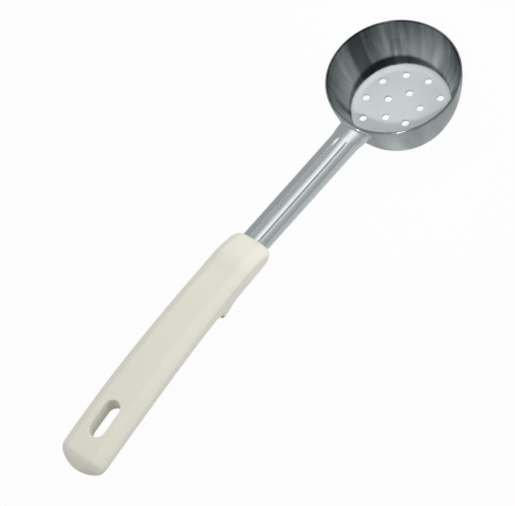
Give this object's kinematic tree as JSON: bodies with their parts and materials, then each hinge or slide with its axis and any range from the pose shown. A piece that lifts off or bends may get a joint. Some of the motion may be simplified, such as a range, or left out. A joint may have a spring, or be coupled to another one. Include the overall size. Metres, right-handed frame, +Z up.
{
  "type": "portion spoon",
  "caption": "Portion spoon with a round steel bowl, drain holes in its flat base, a grooved steel shank and an ivory plastic handle with a thumb rest, stop lug and hanging slot.",
  "frame": {"origin": "on the table under the middle of the spoon's bounding box, with the spoon lying as it does when put down, on the edge of the bowl's base and the underside of the handle's tail", "axes": "+X along the spoon from the bowl to the handle's tail, +Y across it, +Z up out of the bowl's mouth"},
  "size_m": [0.2882, 0.07, 0.0374],
  "materials": {
    "drawn_steel": "bright, finely polished round the bowl",
    "pressed_steel": "bright, finely polished along the shank",
    "weld_steel": "cleaned weld, a little duller than the sheet",
    "ivory_plastic": "satin moulded plastic, ivory"
  },
  "bodies": {
    "root": {"bowl": "drawn_steel", "shank": "pressed_steel", "weld_bead": "weld_steel", "handle": "ivory_plastic"}
  },
  "joints": []
}
